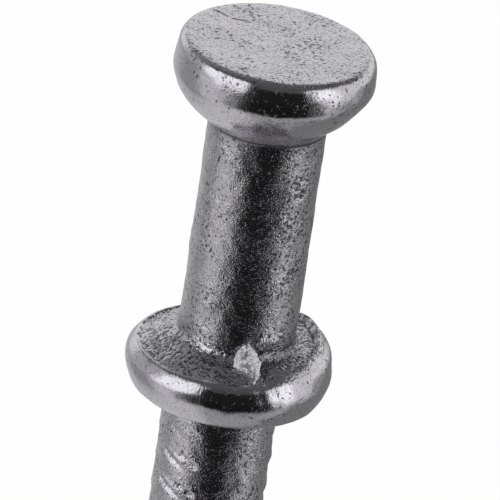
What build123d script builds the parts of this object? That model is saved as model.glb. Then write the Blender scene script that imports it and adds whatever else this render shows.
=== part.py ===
"""Double-headed round spike, cold headed from one length of bright drawn steel wire.

The struck head stands on a neck above a second, larger head, here called the collar. The collar
stops on the timber, and a claw takes hold of the neck to pull the spike out again. Below the
collar the wire carries slanted marks from the dies that gripped it, then runs plain to a
four-sided cut point. The real thing is a single piece of steel. Each length of it that the
header, the grip dies or the cutter shaped differently is written as a solid of its own, and
neighbours meet face to face.

Millimetres. +Z runs along the wire towards the struck head. The origin is on the wire's axis in
the plane of the collar's underside, which is the face that stops on the timber. The grip dies
close along X, so they part at -Y and +Y.
"""
import os

from build123d import *

# Wire
shank_diameter = 4.11
shank_below_collar = 76.2
point_length = 7.0
point_overcut = 0.03
point_draw_in = 0.25
tip_width = 0.3

# Neck, swelled a little by the header
neck_diameter = 4.26
neck_length = 8.65

# Struck head
head_diameter = 7.30
head_height = 2.95
head_wall_height = 1.44
head_edge_round = 0.34
head_shoulder_round = 0.40

# Collar
collar_diameter = 7.50
collar_height = 2.20
collar_rim_height = 1.69
collar_top_round = 0.45
collar_bottom_round = 0.44
root_length = 0.30
root_fillet = 0.15
foot_width = 0.13
foot_height = 0.12

# Fins of metal squeezed out where the header dies part
fin_thickness = 0.22
fin_reach = 0.95
fin_rise = 0.62
fin_bite = 0.20

# The length that the grip dies hold, and the marks of their teeth near its upper end
grip_length = 18.6
mark_count = 6
mark_pitch = 1.19
first_mark_left = 2.05
first_mark_right = 1.46
mark_depth = 0.09
mark_width = 0.38
mark_slant = 20.0
mark_spread = 0.35

# Worked out from the sizes above
shank_radius = shank_diameter / 2
neck_radius = neck_diameter / 2
head_radius = head_diameter / 2
collar_radius = collar_diameter / 2
foot_radius = neck_radius + foot_width
neck_bottom = collar_height + foot_height
neck_top = collar_height + neck_length
head_top = neck_top + head_height
tip_height = -shank_below_collar
point_top = tip_height + point_length


def rod(radius, bottom, top):
    """A plain round length of wire between two heights."""
    upward = (Align.CENTER, Align.CENTER, Align.MIN)
    return Pos(0, 0, bottom) * Cylinder(radius, top - bottom, align=upward)


def turned(corners, rounds):
    """The outline through the corners, some of them rounded, turned a full circle about Z.

    corners are (radius, height) pairs, and rounds gives a corner's rounding radius.
    """
    outline = make_face(Polyline(*corners, close=True))
    for corner, size in rounds.items():
        vertex = outline.vertices().sort_by_distance((*corner, 0))[0]
        outline = fillet(vertex, size)
    return revolve(Plane.XZ * outline, Axis.Z)


def make_head():
    """Flat struck face, rounded edge, upright wall, rounded shoulder and a cone to the neck."""
    face_edge = (head_radius, head_top)
    shoulder = (head_radius, head_top - head_wall_height)
    corners = [(0, neck_top), (neck_radius, neck_top), shoulder, face_edge, (0, head_top)]
    return turned(corners, {face_edge: head_edge_round, shoulder: head_shoulder_round})


def make_neck():
    """The swelled wire between the two heads."""
    return rod(neck_radius, neck_bottom, neck_top)


def make_fin(side):
    """One fin: a thin upright plate, high at the neck and run out on the collar's slope."""
    slope = (collar_height - collar_rim_height) / (collar_radius - foot_radius)
    reach = foot_radius + fin_reach
    run_out = collar_height - slope * fin_reach
    outline = Polygon(
        (neck_radius - fin_bite, collar_height - fin_bite),
        (reach - fin_bite, run_out - fin_bite),
        (reach, run_out),
        (neck_radius, collar_height + fin_rise),
        (neck_radius - fin_bite, collar_height + fin_rise),
        align=None,
    )
    plate = extrude(Plane.YZ * outline, fin_thickness / 2, both=True)
    return Rot(0, 0, side) * (plate - rod(neck_radius, neck_bottom, neck_top))


def make_collar():
    """Flat seat, rounded rim, sloping top, a small foot for the neck and the two fins.

    The seat has a short rounded root, below which the gripped wire begins.
    """
    seat_root = (shank_radius, 0)
    rim_bottom = (collar_radius, 0)
    rim_top = (collar_radius, collar_rim_height)
    corners = [
        (0, -root_length),
        (shank_radius, -root_length),
        seat_root,
        rim_bottom,
        rim_top,
        (foot_radius, collar_height),
        (neck_radius, neck_bottom),
        (0, neck_bottom),
    ]
    rounds = {seat_root: root_fillet, rim_bottom: collar_bottom_round, rim_top: collar_top_round}
    body = turned(corners, rounds)
    for side in (0, 180):
        body += make_fin(side)
    return body


def make_mark(side, height):
    """The V-shaped ring that one die tooth fills, wider than the wire and pushed to one side.

    It bites deepest at the middle of its side of the wire and fades out before the parting line.
    """
    ridge_radius = shank_radius + mark_spread
    half_width_per_depth = mark_width / 2 / mark_depth
    tooth_height = mark_spread
    tooth = Polygon(
        (ridge_radius, 0),
        (ridge_radius + tooth_height, tooth_height * half_width_per_depth),
        (ridge_radius + tooth_height, -tooth_height * half_width_per_depth),
        align=None,
    )
    ring = revolve(Plane.XZ * tooth, Axis.Z)
    return Pos(-side * (mark_spread + mark_depth), 0, height) * Rot(mark_slant, 0, 0) * ring


def make_grip_zone():
    """The wire that the dies hold, with a row of slanted marks on each side near its top."""
    wire = rod(shank_radius, -grip_length, -root_length)
    for side, first in ((-1, first_mark_left), (1, first_mark_right)):
        for i in range(mark_count):
            wire -= make_mark(side, -first - i * mark_pitch)
    return wire


def make_shank():
    """The plain drawn wire down to the point."""
    return rod(shank_radius, point_top, -grip_length)


def make_point():
    """The wire's end, pinched in a little by the cutters and cut to a four-sided point."""
    middle = (tip_height + point_top) / 2
    blank = Pos(0, 0, middle) * Cone(shank_radius - point_draw_in, shank_radius, point_length)
    wide = 2 * shank_radius * (1 + point_overcut)
    pyramid = loft(
        [
            Plane.XY.offset(tip_height) * Rectangle(tip_width, tip_width),
            Plane.XY.offset(point_top) * Rectangle(wide, wide),
        ]
    )
    return blank & pyramid


nodes = {
    "head": make_head(),
    "neck": make_neck(),
    "collar": make_collar(),
    "grip_zone": make_grip_zone(),
    "shank": make_shank(),
    "point": make_point(),
}
os.makedirs("parts", exist_ok=True)
for name, shape in nodes.items():
    shape.label = name
    export_step(shape, f"parts/{name}.step")
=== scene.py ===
"""A double-headed spike: one piece of steel wire, gripped, upset and struck cold to a collar and a head.

The sections follow the wire from its cut point up to the struck head, after the camera and the studio.
Sizes are in millimetres along the wire's axis, measured from the underside of the collar, and are turned
into metres when a mesh is written.
"""
import bmesh
import bpy
import numpy as np
from mathutils import Matrix, Vector


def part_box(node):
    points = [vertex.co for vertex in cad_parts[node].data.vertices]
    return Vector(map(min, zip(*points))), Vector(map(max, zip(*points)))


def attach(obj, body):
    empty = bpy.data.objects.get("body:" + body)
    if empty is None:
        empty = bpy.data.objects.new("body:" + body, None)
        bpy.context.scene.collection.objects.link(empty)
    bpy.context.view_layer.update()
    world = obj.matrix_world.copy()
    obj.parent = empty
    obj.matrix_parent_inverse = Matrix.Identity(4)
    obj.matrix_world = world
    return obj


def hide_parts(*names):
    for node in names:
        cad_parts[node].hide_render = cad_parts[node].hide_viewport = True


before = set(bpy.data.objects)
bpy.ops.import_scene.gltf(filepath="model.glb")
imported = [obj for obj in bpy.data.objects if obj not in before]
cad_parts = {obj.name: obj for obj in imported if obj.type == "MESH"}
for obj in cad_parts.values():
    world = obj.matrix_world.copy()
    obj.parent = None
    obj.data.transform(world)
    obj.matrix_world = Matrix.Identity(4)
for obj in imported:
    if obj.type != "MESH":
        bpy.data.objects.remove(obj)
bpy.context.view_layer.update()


# ---------------------------------------------------------------- the camera
# A long lens stands well off to the left of the parting line and looks down on the head.
# It is rolled a little, so the spike leans to the right as it crosses the view.
MM = 0.001
view_azimuth = np.radians(-20.0)
view_elevation = np.radians(25.5)
view_roll = np.radians(8.44)
lens_length = 1000.0
sensor_width = 36.0
view_width = 17.95
aim_height = 5.576
aim_aside = 0.136

across = Vector((np.cos(view_azimuth), np.sin(view_azimuth), 0.0))
toward_lens = Vector((
    np.sin(view_azimuth) * np.cos(view_elevation),
    -np.cos(view_azimuth) * np.cos(view_elevation),
    np.sin(view_elevation),
))
upward = toward_lens.cross(across)
camera_right = across * np.cos(view_roll) + upward * np.sin(view_roll)
camera_up = upward * np.cos(view_roll) - across * np.sin(view_roll)
camera_distance = view_width * lens_length / sensor_width
camera_place = Vector((0, 0, aim_height)) + across * aim_aside + toward_lens * camera_distance

camera_data = bpy.data.cameras.new("camera")
camera_data.lens = lens_length
camera_data.sensor_width = sensor_width
camera = bpy.data.objects.new("camera", camera_data)
bpy.context.scene.collection.objects.link(camera)
camera.matrix_world = Matrix((
    (camera_right.x, camera_up.x, toward_lens.x, camera_place.x * MM),
    (camera_right.y, camera_up.y, toward_lens.y, camera_place.y * MM),
    (camera_right.z, camera_up.z, toward_lens.z, camera_place.z * MM),
    (0, 0, 0, 1),
))
bpy.context.scene.camera = camera


# ---------------------------------------------------------------- the studio
# A white floor under a white sky, and round them a tent of pale cloth with black and white cards.
# Only the steel sees the tent, because bright steel has nothing but reflections to show.
def write_mesh(name, points, faces, values=None):
    """A mesh from an array of points in millimetres and a list of corner numbers, with named values per
    point."""
    mesh = bpy.data.meshes.new(name)
    mesh.from_pydata((points * MM).tolist(), [], faces)
    for label, numbers in (values or {}).items():
        layer = mesh.attributes.new(label, "FLOAT", "POINT")
        layer.data.foreach_set("value", np.asarray(numbers, dtype=np.float32).ravel())
    mesh.validate()
    piece = bpy.data.objects.new(name, mesh)
    bpy.context.scene.collection.objects.link(piece)
    return piece


def soft_step(value, start, end):
    """Nought before the start and one after the end, with a smooth cubic rise between them."""
    part = np.clip((value - start) / (end - start), 0.0, 1.0)
    return part * part * (3.0 - 2.0 * part)


def card(left, right, low, high, soft):
    """How much of each direction a card covers: a box in bearing and height, in degrees, with soft edges."""
    middle = (left + right) / 2
    off = np.abs((bearing - middle + 180.0) % 360.0 - 180.0)
    beside = 1.0 - soft_step(off, (right - left) / 2 - soft, (right - left) / 2 + soft)
    above = soft_step(height, low - soft, low + soft)
    below = 1.0 - soft_step(height, high - soft, high + soft)
    return beside * above * below


def hang(glow, cover, level):
    """The glow with something of this level hung in front of it, as far as it covers."""
    return glow * (1.0 - cover) + level * cover


def hang_cards(glow, cards):
    """The glow with each card of a list hung in front in turn. A card is left, right, low, high, lift, soft
    edge and level, and the lift raises its lower edge by so much for each degree away from the front."""
    for left, right, low, high, lift, soft, level in cards:
        glow = hang(glow, card(left, right, low + lift * off_front, high, soft), level)
    return glow


floor_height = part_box("point")[0].z / MM
floor_reach = 3000.0
floor_corners = np.array([[-1, -1, 0], [1, -1, 0], [1, 1, 0], [-1, 1, 0]]) * floor_reach
floor = write_mesh("floor", floor_corners + [0, 0, floor_height], [(0, 1, 2, 3)])
floor_white = bpy.data.materials.new("floor_white")
floor_white.use_nodes = True
floor_shader = floor_white.node_tree.nodes["Principled BSDF"]
floor_shader.inputs["Base Color"].default_value = (0.99, 0.99, 0.99, 1)
floor_shader.inputs["Roughness"].default_value = 1.0
floor_shader.inputs["Specular IOR Level"].default_value = 0.0
floor.data.materials.append(floor_white)
floor.visible_glossy = False

sky = bpy.data.worlds.new("white_sky")
sky.use_nodes = True
sky.node_tree.nodes["Background"].inputs["Color"].default_value = (1, 1, 1, 1)
sky.node_tree.nodes["Background"].inputs["Strength"].default_value = 1.0
bpy.context.scene.world = sky

tent_radius = 900.0
tent_columns = 240
tent_rows = 120
turn = np.linspace(0, 360, tent_columns, endpoint=False)
rise = np.linspace(-90, 90, tent_rows)
bearing, height = np.meshgrid(turn, rise)
front_bearing = 5
off_front = np.abs((bearing - front_bearing + 180.0) % 360.0 - 180.0)
skirt_level = 0.36
wall_level = 0.93
ground_level = 0.42
roof_level = 0.12
# Each card's left, right, low, high, lift, soft edge and level.
lower_cards = [
    (-180, -130, -90, -8, 0, 14, 0.58),
    (-90, -54, -62, -8, 0, 12, 0.70),
    (-172, -38, -82, -46, 0, 12, 0.70),
    (88, 172, -84, -8, 0, 10, 0.24),
    (64, 88, -60, -8, 0, 8, 0.52),
    (-128, -80, -10, 40, 0, 8, 0.50),
]
roof_cards = [
    (-166, -100, 28, 90, 0, 5, 0.24),
    (104, 166, 28, 90, 0, 5, 0.12),
]
white_cards = [
    (-84, -32, -10, 38, 0, 6, 1.35),
    (46, 112, -18, 36, 0, 7, 0.85),
    (46, 80, -14, 32, 0, 6, 1.45),
]
black_cards = [
    (-44, 62, -58, -8, 0.50, 8, 0.10),
    (-28, 48, -14, 58, 0, 6, 0.10),
    (-30, 52, -54, -8, 0.48, 7, 0.012),
    (-24, 46, -14, 22, 0, 6, 0.016),
]
glow = skirt_level + (wall_level - skirt_level) * soft_step(height, -14, 4)
glow = hang(glow, soft_step(-height, 45, 70), ground_level)
glow = hang_cards(glow, lower_cards)
glow = hang(glow, soft_step(height, 33, 42), roof_level)
glow = hang_cards(glow, roof_cards + white_cards + black_cards)
tent_turn = np.radians(bearing) + view_azimuth - np.pi / 2
tent_rise = np.radians(height)
tent_points = tent_radius * np.stack((
    np.cos(tent_turn) * np.cos(tent_rise),
    np.sin(tent_turn) * np.cos(tent_rise),
    np.sin(tent_rise),
), axis=-1)
tent_corner = np.arange(tent_rows * tent_columns).reshape(tent_rows, tent_columns)
tent_next = np.roll(tent_corner, -1, axis=1)
tent_faces = np.stack(
    (tent_corner[:-1], tent_corner[1:], tent_next[1:], tent_next[:-1]), axis=-1).reshape(-1, 4)
tent = write_mesh("tent", tent_points.reshape(-1, 3), tent_faces.tolist(), {"glow": glow})
tent_cloth = bpy.data.materials.new("tent_cloth")
tent_cloth.use_nodes = True
tent_cloth.node_tree.nodes.clear()
tent_glow = tent_cloth.node_tree.nodes.new("ShaderNodeAttribute")
tent_glow.attribute_name = "glow"
tent_shine = tent_cloth.node_tree.nodes.new("ShaderNodeEmission")
tent_output = tent_cloth.node_tree.nodes.new("ShaderNodeOutputMaterial")
tent_cloth.node_tree.links.new(tent_glow.outputs["Fac"], tent_shine.inputs["Strength"])
tent_cloth.node_tree.links.new(tent_shine.outputs["Emission"], tent_output.inputs["Surface"])
tent_cloth.cycles.emission_sampling = "NONE"
tent.data.materials.append(tent_cloth)
tent.visible_camera = False
tent.visible_diffuse = False
tent.visible_shadow = False
tent.visible_transmission = False
bpy.context.scene.view_settings.view_transform = "Standard"


# ---------------------------------------------------------------- the plain wire
# Drawn steel wire, bright from the dies and dulled by tumbling.
# It runs down from the grip marks to the cut point, and nothing has touched it but the drawing die.
wire_radius = 2.055
columns = 512
wire_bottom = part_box("shank")[0].z / MM
wire_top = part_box("shank")[1].z / MM


def ripple(points, spacing, seed, waves=48):
    """A rough field with bumps about one spacing apart: a sum of plane waves in random directions, with a
    spread of one. It depends on the place alone, so two pieces that meet agree along their joint."""
    draw = np.random.default_rng(seed)
    way = draw.normal(size=(waves, 3))
    way /= np.linalg.norm(way, axis=1)[:, None]
    way *= (2 * np.pi / spacing) * draw.uniform(0.6, 1.5, waves)[:, None]
    start = draw.uniform(0, 2 * np.pi, waves)
    total = np.zeros(points.shape[:-1])
    for one in range(waves):
        total += np.cos(points @ way[one] + start[one])
    return total * np.sqrt(2.0 / waves)


shank_aside = -0.108
collar_step_aside = 0.065
neck_step_aside = 0.143
head_step_aside = -0.014


def axis_shift(height):
    """How far each zone sits off the row's axis at a height, along the camera's left-to-right line. The dies
    were not quite in line, so from shank to collar, neck and head there is a small smooth step aside."""
    shift = shank_aside + collar_step_aside * soft_step(height, -0.30, 0.0)
    shift = shift + neck_step_aside * soft_step(height, 1.75, 2.35)
    return shift + head_step_aside * soft_step(height, 10.6, 11.4)


def evenly(profile, rows, blur=0.0):
    """The profile's points spread evenly along its length, its corners eased over the blur distance."""
    profile = np.asarray(profile, dtype=float)
    run = np.concatenate(([0], np.cumsum(np.hypot(*np.diff(profile, axis=0).T))))
    fine = np.linspace(0, run[-1], 6000)
    path = np.stack([np.interp(fine, run, profile[:, k]) for k in (0, 1)], axis=1)
    if blur > 0:
        reach = int(3 * blur / fine[1]) + 1
        weight = np.exp(-0.5 * (np.arange(-reach, reach + 1) * fine[1] / blur) ** 2)
        weight /= weight.sum()
        ahead = 2 * path[-1] - path[-2:-reach - 2:-1]
        behind = 2 * path[0] - path[reach:0:-1]
        longer = np.concatenate((behind, path, ahead))
        path = np.stack([np.convolve(longer[:, k], weight, "valid") for k in (0, 1)], axis=1)
    place = np.linspace(0, fine[-1], rows)
    return np.stack([np.interp(place, fine, path[:, k]) for k in (0, 1)], axis=1)


def turned_skin(name, node, profile, relief):
    """A closed skin turned about the wire's axis, in place of a CAD node.
    Ring by ring the profile gives a radius and a height, and a point at angle t stands at radius times
    (cos t, sin t) from the shifted axis. Each point then moves out along the profile's own normal by the
    first thing that relief(points, angle, radius, height) returns. The rest, the grain, the oxide with any
    painted shade, and the pitting, is kept on the mesh for the finish to read. Both end rings are closed by
    a flat fan to a middle point."""
    radius, height = profile[:, :1], profile[:, 1:]
    angle = np.linspace(0, 2 * np.pi, columns, endpoint=False)[None, :]
    aside = axis_shift(height)
    slope = np.gradient(profile, axis=0)
    slope /= np.linalg.norm(slope, axis=1)[:, None]
    out, lift = slope[:, 1:], -slope[:, :1]
    flat = np.stack(np.broadcast_arrays(radius * np.cos(angle), radius * np.sin(angle), height), axis=-1)
    move, grain, oxide_and_painted_shade, pitting = relief(flat, angle, radius, height)
    stood = np.stack(np.broadcast_arrays(
        (radius + out * move) * np.cos(angle) + aside * np.cos(view_azimuth),
        (radius + out * move) * np.sin(angle) + aside * np.sin(view_azimuth),
        height + lift * move,
    ), axis=-1)
    rows = len(profile)
    ring = np.arange(rows * columns).reshape(rows, columns)
    beside = np.roll(ring, -1, axis=1)
    faces = np.stack((ring[:-1], beside[:-1], beside[1:], ring[1:]), axis=-1).reshape(-1, 4).tolist()
    low_point, high_point = rows * columns, rows * columns + 1
    faces += [(low_point, b, a) for a, b in zip(ring[0].tolist(), beside[0].tolist())]
    faces += [(high_point, a, b) for a, b in zip(ring[-1].tolist(), beside[-1].tolist())]
    points = np.concatenate((stood.reshape(-1, 3), stood[0].mean(0)[None], stood[-1].mean(0)[None]))
    values = {
        label: np.concatenate((np.broadcast_to(field, ring.shape).ravel(), [0, 0]))
        for label, field in (("grain", grain), ("oxide_and_painted_shade", oxide_and_painted_shade), ("pitting", pitting))
    }
    piece = write_mesh(name, points, faces, values)
    piece.data.shade_smooth()
    edge = np.zeros(len(piece.data.edges) * 2, dtype=np.int32)
    piece.data.edges.foreach_get("vertices", edge)
    edge = edge.reshape(-1, 2)
    rim = ((edge < columns).all(1)) | ((edge >= ring[-1, 0]) & (edge < low_point)).all(1)
    sharp = piece.data.attributes.new("sharp_edge", "BOOLEAN", "EDGE")
    sharp.data.foreach_set("value", rim)
    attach(piece, "root")
    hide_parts(node)
    return piece


def sideways(points):
    """How far points stand along the camera's left-to-right line from the wire's axis."""
    return points[..., 0] * np.cos(view_azimuth) + points[..., 1] * np.sin(view_azimuth)


long_wave = 0.009
short_wave = 0.005
pit_threshold = 2.05
pit_full = 0.7
pit_slope = 0.018


def worn_skin(points):
    """The relief that tumbling leaves everywhere, and how dark it is: long waves, short waves and shallow
    pits. A pit opens where one ripple rises above a level, and is as dark as it is deep."""
    waves = long_wave * ripple(points, 1.9, 11) + short_wave * ripple(points, 0.62, 12)
    crowd = 0.45 * ripple(points, 1.3, 14)
    pit = np.clip(ripple(points, 0.24, 13) - pit_threshold + crowd, 0, pit_full)
    return waves - pit_slope * pit, pit / pit_full


# The dark tone for real oxide in the pits and for painted shade in creases, corners and hollows.
oxide_and_shade_tone = 0.10


def steel_finish(name, tone, polished, dulled, depth, metal=1.0):
    """Bright steel. Its roughness runs from polished to dulled with the skin's grain, a fine grain and small
    pits are bumped to a depth in millimetres, and dark oxide lies in the pits. The same dark tone also gives
    painted shade wherever the oxide channel carries it. The lower the metal, the more the surface scatters
    light, as frost does."""
    steel = bpy.data.materials.new(name)
    steel.use_nodes = True
    nodes, links = steel.node_tree.nodes, steel.node_tree.links
    shader = nodes["Principled BSDF"]
    shader.inputs["Metallic"].default_value = metal

    def add(kind, **settings):
        node = nodes.new(kind)
        for key, value in settings.items():
            setattr(node, key, value)
        return node

    def maths(operation, first, second):
        node = add("ShaderNodeMath", operation=operation)
        for socket, value in zip(node.inputs, (first, second)):
            if isinstance(value, (int, float)):
                socket.default_value = value
            else:
                links.new(value, socket)
        return node.outputs[0]

    def noise(scale, detail, roughness=0.5):
        node = add("ShaderNodeTexNoise")
        node.inputs["Scale"].default_value = scale
        node.inputs["Detail"].default_value = detail
        node.inputs["Roughness"].default_value = roughness
        links.new(in_mm, node.inputs["Vector"])
        return node.outputs["Fac"]

    def ramp(value, start, end, low, high):
        node = add("ShaderNodeMapRange", interpolation_type="SMOOTHSTEP")
        for label, number in (("From Min", start), ("From Max", end), ("To Min", low), ("To Max", high)):
            node.inputs[label].default_value = number
        links.new(value, node.inputs["Value"])
        return node.outputs["Result"]

    place = add("ShaderNodeTexCoord")
    mapping = add("ShaderNodeMapping")
    mapping.inputs["Scale"].default_value = (1000, 1000, 1000)
    links.new(place.outputs["Object"], mapping.inputs["Vector"])
    in_mm = mapping.outputs["Vector"]
    grain = add("ShaderNodeAttribute", attribute_name="grain").outputs["Fac"]
    oxide_and_painted_shade = add("ShaderNodeAttribute", attribute_name="oxide_and_painted_shade").outputs["Fac"]
    pitting = add("ShaderNodeAttribute", attribute_name="pitting").outputs["Fac"]

    # Noise scales are in features per millimetre.
    grit = noise(8.5, 2.0, 0.55)
    frost = noise(17.0, 1.0)
    clouds = noise(0.9, 3.0)
    crowding = maths("ADD", maths("MULTIPLY", clouds, 0.36), maths("MULTIPLY", pitting, 0.11))
    specks = ramp(maths("ADD", noise(8.0, 2.0, 0.6), crowding), 0.93, 0.965, 0.0, 1.0)
    soot = ramp(noise(13.0, 1.0), 0.53, 0.66, 0.0, 0.60)
    sooted = maths("MULTIPLY", soot, maths("ADD", maths("MULTIPLY", grain, 0.65), 0.35))
    # The oxide channel holds real oxide in the pits and painted shade in the crease, the collar's corner and
    # valley, and the flake's hollow.
    dark = maths("MAXIMUM", oxide_and_painted_shade, maths("MAXIMUM", specks, sooted))

    colour = add("ShaderNodeMix", data_type="RGBA")
    colour.inputs["A"].default_value = (*tone, 1)
    colour.inputs["B"].default_value = (*(part * oxide_and_shade_tone for part in tone), 1)
    links.new(maths("MULTIPLY", dark, 0.9), colour.inputs["Factor"])
    links.new(colour.outputs["Result"], shader.inputs["Base Color"])

    rough = ramp(grain, 0.0, 1.0, polished, dulled)
    rough = maths("ADD", rough, ramp(clouds, 0.3, 0.7, -0.03, 0.03))
    links.new(maths("ADD", rough, maths("MULTIPLY", dark, 0.10)), shader.inputs["Roughness"])

    height = maths("ADD", maths("MULTIPLY", grit, 1.0), maths("MULTIPLY", frost, 0.45))
    height = maths("MULTIPLY", height, maths("ADD", maths("MULTIPLY", grain, 0.92), 0.08))
    height = maths("SUBTRACT", height, maths("MULTIPLY", specks, 0.55))
    bump = add("ShaderNodeBump")
    bump.inputs["Strength"].default_value = 1.0
    bump.inputs["Distance"].default_value = depth * MM
    links.new(height, bump.inputs["Height"])
    links.new(bump.outputs["Normal"], shader.inputs["Normal"])
    return steel


bright_steel = steel_finish("bright_steel", (0.605, 0.592, 0.634), 0.12, 0.17, 0.018)
plain_rows = 180
die_line_depth = 0.0012


def plain_relief(points, angle, radius, height):
    """The worn skin of the drawn wire, with faint lengthwise die lines round it."""
    move, oxide_and_painted_shade = worn_skin(points)
    die_lines = die_line_depth * (np.sin(61 * angle) + 0.75 * np.sin(97 * angle + 1.3))
    return move + die_lines, 0.9, oxide_and_painted_shade, 0.6


plain_wire = turned_skin(
    "plain_wire", "shank",
    evenly([(wire_radius, wire_bottom), (wire_radius, wire_top)], plain_rows), plain_relief)
plain_wire.data.materials.append(bright_steel)


# ---------------------------------------------------------------- the cut point
# The wire's end, pinched off between two pairs of cutting dies that leave four long facets.
# The cut leaves a small blunt tip, and the corners between the facets are hardly eased.
tip_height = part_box("point")[0].z / MM
point_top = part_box("point")[1].z / MM
tip_half = 0.15
point_overcut = 0.03
facet_corner = 14.0
point_rows = 170


def point_relief(points, angle, radius, height):
    """Four flat facets: each ring's reach is the lesser of the wire's radius and a square whose half side
    narrows in a straight line from just over the radius to the tip, its corners eased by a high power."""
    part = (height - tip_height) / (point_top - tip_height)
    half = tip_half + (wire_radius + point_overcut - tip_half) * part
    square = half / (np.abs(np.cos(angle)) ** facet_corner + np.abs(np.sin(angle)) ** facet_corner) ** (
        1 / facet_corner)
    cut = np.minimum(square, wire_radius) - radius
    move, oxide_and_painted_shade = worn_skin(points)
    kept = soft_step(square, 0.3, 1.2)
    return cut + move * kept, 0.9 - 0.5 * soft_step(-cut, 0.0, 0.1), oxide_and_painted_shade * kept, 0.4


cut_point = turned_skin(
    "cut_point", "point",
    evenly([(wire_radius, tip_height), (wire_radius, point_top)], point_rows), point_relief)
cut_point.data.materials.append(bright_steel)


# ---------------------------------------------------------------- the gripped wire
# Two serrated dies held the wire here while the collar was upset above them.
# Each left a ladder of slanting bites in its side of the wire, with a bright lip along every bite.
grip_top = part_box("grip_zone")[1].z / MM
marks_each_side = 6
mark_pitch = 1.17
first_level = -1.10
left_flights = [
    # bearing of the bites' middle, rise above the level, half length, slant, depth, width
    (172, 0.25, 0.55, 14, 0.075, 0.15),
    (-155.5, -0.13, 0.60, 18.5, 0.085, 0.12),
    (-134, 0.03, 0.42, 22, 0.07, 0.12),
]
right_flight = [(-6, -0.35, 0.95, -14, 0.10, 0.22)]


def hill(value, middle, width, power=2):
    """A smooth hill, one high at the middle, that falls off as a Gaussian. Power 4 gives it a flatter top."""
    return np.exp(-((value - middle) / width) ** power)


def around(angle, turn, size):
    """The distance round the axis from a bearing in degrees, along a circle of this radius."""
    return size * ((angle - np.radians(turn) + np.pi) % (2 * np.pi) - np.pi)


def bite(angle, height, turn, level, half_run, slant, depth, width):
    """One slanting bite: a groove with a round section along a short line that drops as it goes round the
    wire, its ends faded out, and a lip pushed up along its upper edge."""
    run = around(angle, turn, wire_radius)
    fall = height - level + run * np.tan(np.radians(slant))
    fade = 1.0 - soft_step(np.abs(run), half_run * 0.55, half_run * 1.15)
    lip = 0.45 * hill(fall, 1.5 * width, 0.7 * width)
    return depth * fade * (lip - hill(fall, 0, width))


def grip_relief(points, angle, radius, height):
    """The worn skin with the ladders of bites, three staggered flights on the left die's side and one on the
    right die's. The first bites are the faintest, and the small pits crowd together on the right."""
    move, oxide_and_painted_shade = worn_skin(points)
    for one in range(marks_each_side):
        strength = min(1.0, 0.35 + 0.5 * one)
        for turn, rise, half_run, slant, depth, width in left_flights + right_flight:
            level = first_level - mark_pitch * one + rise
            move = move + strength * bite(angle, height, turn, level, half_run, slant, depth, width)
    return move, 1.0, oxide_and_painted_shade, 0.9 + 0.8 * soft_step(sideways(points), 0.0, 0.8)


marks_end = -8.9
unmarked_rows = 40
marked_rows = 148
grip_heights = np.concatenate((
    np.linspace(wire_top, marks_end, unmarked_rows, endpoint=False),
    np.linspace(marks_end, grip_top, marked_rows),
))
gripped_wire = turned_skin(
    "gripped_wire", "grip_zone",
    np.stack((np.full_like(grip_heights, wire_radius), grip_heights), axis=1), grip_relief)
gripped_wire.data.materials.append(bright_steel)


# ---------------------------------------------------------------- the stop collar
# The ring that stops the spike as it is driven home, upset from the wire between the closed dies.
# Its rim is round and polished, its upper slope rough, and metal squeezed out where the dies part.
neck_radius = 2.13
collar_radius = 3.752
collar_widest = 0.944
collar_under = 3.314
rim_edge = 3.36
rim_edge_height = 1.82
rim_kept = 49
slope_foot = 2.58
slope_foot_height = 2.09
foot_top = 2.46
collar_end = 2.60
root_drop = -0.30
collar_rows = 188
collar_ease = 0.085


def rounded(start, end, power, turn):
    """A quarter of a superellipse from one (radius, height) to another. It leaves the start along the height
    when turn is 'up' and along the radius when it is 'out', and the power says how square its shoulder
    is."""
    sweep = np.linspace(0, np.pi / 2, 60)
    gain, rest = np.sin(sweep) ** (2 / power), 1 - np.cos(sweep) ** (2 / power)
    first, second = (rest, gain) if turn == "up" else (gain, rest)
    return [(start[0] + (end[0] - start[0]) * a, start[1] + (end[1] - start[1]) * b)
            for a, b in zip(first, second)]


collar_profile = (
    [(wire_radius, root_drop), (wire_radius, 0.0)]
    + rounded((collar_under, 0.0), (collar_radius, collar_widest), 1.27, "out")
    + rounded((collar_radius, collar_widest), (rim_edge, rim_edge_height), 2.0, "up")[:rim_kept]
    + rounded((slope_foot, slope_foot_height), (neck_radius, foot_top), 2.0, "out")
    + [(neck_radius, collar_end)]
)
parting_turn = -89
lip_turn = -83
groove_depth = 0.07
lip_height = 0.17


def parting_flash(angle, height):
    """What the dies' parting line leaves at the neck's foot: a groove, and beside it a low upright lip."""
    groove = hill(around(angle, parting_turn, neck_radius), 0, 0.10) * hill(height, 2.45, 0.42, 4)
    lip = hill(around(angle, lip_turn, neck_radius), 0, 0.10) * hill(height, 2.85, 0.30, 4)
    return lip_height * lip - groove_depth * groove


def band(value, start, full, fading, end):
    """Nought, then one from full to fading, then nought again, with smooth cubic ramps between them."""
    return soft_step(value, start, full) * (1 - soft_step(value, fading, end))


front_turn = -110
far_rise = 0.20
left_fall = 0.16
swell_height = 0.25
ledge_start = 2.92
ledge_end = 3.03
ridge_radius = 3.01
ridge_height = 0.03
moat_radius = 3.30
moat_depth = 0.06
valley_bearing = 25
valley_depth = 0.07
dent_depth = 0.022


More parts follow.
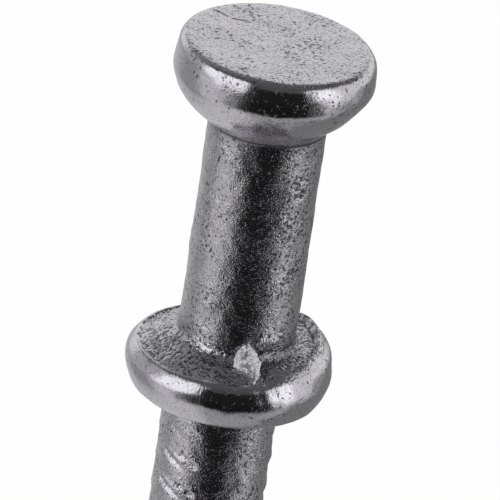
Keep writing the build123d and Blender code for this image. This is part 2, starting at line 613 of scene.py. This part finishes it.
def collar_relief(points, angle, radius, height):
    """The worn skin over an uneven ring, with bearings in degrees to the right of the front.
    The upper slope is rough with small dents, and the rim outside it is polished. The slope lies lower on
    the left, where a shallow moat runs inside the rim, and higher on the far side. On the right the polished
    rim swells up and reaches in to a low ledge with a ridge along it. A short valley runs down the slope to
    the right of the claw of flash, and painted shade, carried as oxide, lies in it and in the corner at the
    neck's foot."""
    move, oxide_and_painted_shade = worn_skin(points)
    bearing = np.degrees(around(angle, front_turn, 1.0))
    left = soft_step(-sideways(points) / collar_radius, 0.05, 0.75)
    far = soft_step(bearing, 80, 120)
    swollen = band(bearing, 20, 36, 125, 170)
    above = soft_step(height, 1.2, 1.7)
    wander = 0.03 * np.sin(17 * angle) + 0.02 * np.sin(41 * angle + 1)
    inner = radius + wander

    swell = swollen * soft_step(inner, ledge_start, ledge_end) * (1 - soft_step(radius, 3.04, 3.76)) * above
    ridge = swollen * hill(inner, ridge_radius, 0.045) * above
    moat = left * hill(radius, moat_radius, 0.16) * above
    valley = hill(bearing, valley_bearing, 3.5) * band(radius, 2.2, 2.4, 2.9, 3.1)
    valley = valley * soft_step(height, 1.9, 2.0)

    rough_reach = 3.40 - 0.40 * swollen * (1 - 0.7 * soft_step(bearing, 55, 85))
    on_slope = soft_step(height, 1.55, 1.70) * (
        1 - soft_step(inner, rough_reach - 0.06, rough_reach + 0.06))
    below_foot = 1 - soft_step(height, 2.3, 2.5)
    dents = np.clip(ripple(points, 0.19, 21) - 0.55, 0, 1) * on_slope * below_foot
    scale = 0.003 * ripple(points, 0.15, 22) * on_slope

    grain = np.maximum(0.25 + 0.75 * on_slope, 1 - soft_step(height, -0.10, 0.05))
    grain = np.maximum(grain, 0.55 * swollen * above)
    # Painted shade: the corner at the neck's foot on the right is darkened through the oxide channel.
    painted_corner_shade = band(bearing, 16, 24, 60, 90) * (1 - soft_step(radius, 2.35, 2.75))
    painted_corner_shade = painted_corner_shade * soft_step(height, 1.9, 2.1)
    # The valley's groove is real relief, but its darkness here is painted shade, as is the corner's.
    oxide_and_painted_shade = np.maximum(oxide_and_painted_shade * (0.3 + 0.7 * grain), 0.7 * np.maximum(painted_corner_shade, valley))
    oxide_and_painted_shade = np.maximum(oxide_and_painted_shade, 0.6 * dents)

    tilt = (far_rise * far - left_fall * left) * above * soft_step(radius, 2.2, 2.9)
    move = (move + tilt) * (0.45 + 0.55 * grain) + scale - dent_depth * dents
    move = move + swell_height * swell + ridge_height * ridge - moat_depth * moat - valley_depth * valley
    pitting = 0.85 + 0.75 * np.maximum(on_slope, 0.5 * swollen * above)
    return move + parting_flash(angle, height), grain, oxide_and_painted_shade, pitting


stop_collar = turned_skin(
    "stop_collar", "collar", evenly(collar_profile, collar_rows, collar_ease), collar_relief)
stop_collar.data.materials.append(bright_steel)


# ---------------------------------------------------------------- the claw of flash
# A flake of metal squeezed out between the dies at the neck's foot, and folded down over the slope.
# It is part of the same steel, thin, torn along its edge and brighter than the skin round it.
def smooth_path(controls, places, closed=False):
    """A Catmull-Rom curve through given points: at each place, counted in points from the first, a cubic
    that passes through every point with the slope between its neighbours."""
    controls = np.asarray(controls, dtype=float)
    count = len(controls)
    if not closed:
        before_first = 2 * controls[:1] - controls[1:2]
        after_last = 2 * controls[-1:] - controls[-2:-1]
        controls = np.concatenate((before_first, controls, after_last))
        places = np.minimum(places, count - 1 - 1e-9)
    before = np.floor(places).astype(int)
    part = (places - before).reshape((-1,) + (1,) * (controls.ndim - 1))
    shift = -1 if closed else 0
    a, b, c, d = (controls[(before + shift + k) % len(controls)] for k in range(4))
    return 0.5 * (2 * b + (c - a) * part + (2 * a - 5 * b + 4 * c - d) * part ** 2
                  + (3 * b - a - 3 * c + d) * part ** 3)


def on_collar(path):
    """Points from bearings in degrees to the right of the camera's side, radii and heights."""
    turn = np.radians(path[..., 0]) + view_azimuth - np.pi / 2
    aside = axis_shift(path[..., 2])
    return np.stack((
        path[..., 1] * np.cos(turn) + aside * np.cos(view_azimuth),
        path[..., 1] * np.sin(turn) + aside * np.sin(view_azimuth),
        path[..., 2],
    ), axis=-1)


flake_rows = 90
flake_columns = 96
hollow_sink = [-0.02, -0.03, -0.13]
belly_sink = [0, 0, 0.22]
hollow_station = 1.0
tear_height = 0.022
tear_grit = 0.007
flake_crest = [
    (12.5, 2.06, 2.88), (17.0, 2.54, 2.80), (19.4, 2.86, 2.56),
    (19.6, 3.01, 2.31), (18.8, 3.20, 1.99), (17.8, 3.36, 1.82),
]
flake_edge = [
    (12.0, 2.04, 2.86), (2.5, 2.30, 2.58), (2.0, 2.60, 2.16),
    (13.0, 2.80, 2.12), (17.2, 3.04, 2.03), (17.6, 3.34, 1.80),
]
flake_base = [
    (14.0, 1.95, 2.78), (21.0, 2.40, 2.12), (22.5, 2.75, 1.94),
    (22.5, 2.95, 1.88), (20.5, 3.15, 1.82), (18.2, 3.36, 1.76),
]
flake_stops = len(flake_crest) - 1
flake_down = np.linspace(0, flake_stops, flake_rows)
crest, edge, base = (
    on_collar(smooth_path(line, flake_down)) for line in (flake_crest, flake_edge, flake_base))
flake_swell = np.sin(np.pi * flake_down / flake_stops)[:, None]
middle = (crest + edge) / 2 + flake_swell * hollow_sink
under = (edge + base) / 2 - flake_swell * belly_sink
stations = np.stack((edge, middle, crest, (crest + base) / 2, base, under))
flake_round = np.linspace(0, len(stations), flake_columns, endpoint=False)
flake_grid = smooth_path(stations, flake_round, closed=True)
flake_grid = np.swapaxes(flake_grid, 0, 1)
heart = flake_grid.mean(1, keepdims=True)
away = flake_grid - heart
away /= np.maximum(np.linalg.norm(away, axis=-1, keepdims=True), 1e-6)
tear = tear_height * ripple(flake_grid, 0.36, 31) + tear_grit * ripple(flake_grid, 0.15, 32)
flake_grid = flake_grid + away * (tear * (0.15 + 0.85 * flake_swell))[..., None]
# Painted shade: the sunken middle between the crest and the torn edge is darkened through the oxide channel.
painted_hollow_shade = np.clip(ripple(flake_grid, 0.20, 33) * 0.6 + 0.75, 0, 1)
painted_hollow_shade = painted_hollow_shade * hill(flake_round[None, :], hollow_station, 0.5)
flake_ring = np.arange(flake_rows * flake_columns).reshape(flake_rows, flake_columns)
flake_next = np.roll(flake_ring, -1, axis=1)
flake_faces = np.stack(
    (flake_ring[:-1], flake_next[:-1], flake_next[1:], flake_ring[1:]), axis=-1).reshape(-1, 4).tolist()
flake_faces += [flake_ring[0][::-1].tolist(), flake_ring[-1].tolist()]
flake = write_mesh("claw_flake", flake_grid.reshape(-1, 3), flake_faces, {
    "grain": np.full(flake_ring.size, 0.8),
    "oxide_and_painted_shade": 0.9 * painted_hollow_shade,
    "pitting": np.full(flake_ring.size, 0.2),
})
flake_shell = bmesh.new()
flake_shell.from_mesh(flake.data)
bmesh.ops.recalc_face_normals(flake_shell, faces=flake_shell.faces)
flake_shell.to_mesh(flake.data)
flake_shell.free()
flake.data.shade_smooth()
torn_steel = steel_finish("torn_steel", (0.95, 0.94, 0.96), 0.16, 0.26, 0.11, metal=0.55)
flake.data.materials.append(torn_steel)
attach(flake, "root")


# ---------------------------------------------------------------- the claw neck
# The gap that a claw hammer's jaws slip into, so the spike can be drawn again.
# It is the wire itself, swollen a little when the head was struck, and grainy from the tumbling.
head_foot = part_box("head")[0].z / MM - 0.08
neck_end = head_foot - 0.15
neck_rows = 188


def crease_painted_shade(height):
    """How much painted shade lies at a height near the crease between the neck and the head's cone, carried
    in the oxide channel:
    a dark painted shade line, and a painted shade that fades out down the neck."""
    # Painted shade: a dark line in the crease and a soft shade below it, put into the oxide channel.
    line = hill(height, head_foot, 0.07)
    shade = hill(height, head_foot, 0.35) * (height < head_foot)
    return 0.85 * line + 0.35 * shade


def neck_relief(points, angle, radius, height):
    """The worn skin, with the lip of the parting line at its foot. The pits crowd together on the right, and
    painted shade, carried as oxide, lies in the crease under the head."""
    move, oxide_and_painted_shade = worn_skin(points)
    crowded = 1.05 + 0.65 * soft_step(sideways(points), 0.1, 0.9)
    return move + parting_flash(angle, height), 1.0, np.maximum(oxide_and_painted_shade, crease_painted_shade(height)), crowded


claw_neck = turned_skin(
    "claw_neck", "neck",
    evenly([(neck_radius, collar_end), (neck_radius, neck_end)], neck_rows), neck_relief)
claw_neck.data.materials.append(bright_steel)


# ---------------------------------------------------------------- the struck head
# The head the hammer drives and the claw pulls on, struck flat from the wire's end.
# Its face is flat and slightly pitted, its wall polished, and its underside runs down in a cone.
head_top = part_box("head")[1].z / MM
head_radius = 3.64
head_widest = head_foot + 1.84
face_edge = 3.20
face_middle = 0.012
head_rows = 188
head_ease = 0.07
head_profile = (
    [(neck_radius, neck_end)]
    + rounded((neck_radius, head_foot), (head_radius, head_widest), 1.22, "out")
    + rounded((head_radius, head_widest), (face_edge, head_top), 2.8, "up")
    + [(face_middle, head_top)]
)


def scored_line(points, start, end, width):
    """How much a scored line covers each point, seen from above: one along the line from start to end, each
    given as a distance right of the axis and a distance behind it. It fades over its width and bows and
    wanders a little."""
    right = sideways(points)
    behind = points[..., 1] * np.cos(view_azimuth) - points[..., 0] * np.sin(view_azimuth)
    run, rise = end[0] - start[0], end[1] - start[1]
    length = np.hypot(run, rise)
    along = ((right - start[0]) * run + (behind - start[1]) * rise) / length ** 2
    off = ((right - start[0]) * rise - (behind - start[1]) * run) / length
    off = off + 0.05 * np.sin(9.0 * along) - 0.25 * along * (1 - along)
    ends = soft_step(along, -0.05, 0.1) * (1 - soft_step(along, 0.85, 1.05))
    return hill(off, 0, width) * ends


shoulder_height = 1.0
left_shoulder = 0.15
right_shoulder = 0.03
right_cut_back = 0.14
face_tilt = 0.075
scratch_start = (-2.60, 1.95)
scratch_end = (-1.05, 1.30)
scratch_depth = 0.02


def head_relief(points, angle, radius, height):
    """The worn skin, smoother on the wall and cone than on the face. The hammer left the head thicker on the
    left, where its shoulder hangs lower, than on the right, where the cone is cut back, and its face tilts a
    little. A scratch runs in from the face's edge, and painted shade lies in the crease under the cone."""
    move, oxide_and_painted_shade = worn_skin(points)
    aside = sideways(points) / head_radius
    above_foot = height - head_foot
    on_neck = 1 - soft_step(above_foot, -0.1, 0.15)
    on_face = soft_step(height, head_top - 0.1, head_top - 0.02)
    shoulder = hill(above_foot, shoulder_height, 0.55) * (1 - on_neck)
    left, right = np.clip(-aside, 0, 1), np.clip(aside, 0, 1)
    lean = (left_shoulder * left - right_shoulder * right) * shoulder
    lean = lean - right_cut_back * right * hill(above_foot, 0.30, 0.25)
    lean = lean - face_tilt * aside * soft_step(height, head_top - 0.5, head_top)
    scratch = scored_line(points, scratch_start, scratch_end, 0.045) * on_face
    scratch = scratch * soft_step(ripple(points, 0.35, 41), -1.9, -0.2)
    grain = np.maximum(0.25 + 0.75 * on_neck, 0.8 * on_face)
    move = move * (0.5 + 0.5 * on_neck) + lean - scratch_depth * scratch
    # Painted shade in the crease under the cone is merged here with the oxide.
    oxide_and_painted_shade = np.maximum(np.maximum(oxide_and_painted_shade, 0.4 * scratch), crease_painted_shade(height))
    return move, grain, oxide_and_painted_shade, 0.85 + 0.4 * on_face


struck_head = turned_skin("struck_head", "head", evenly(head_profile, head_rows, head_ease), head_relief)
struck_head.data.materials.append(bright_steel)
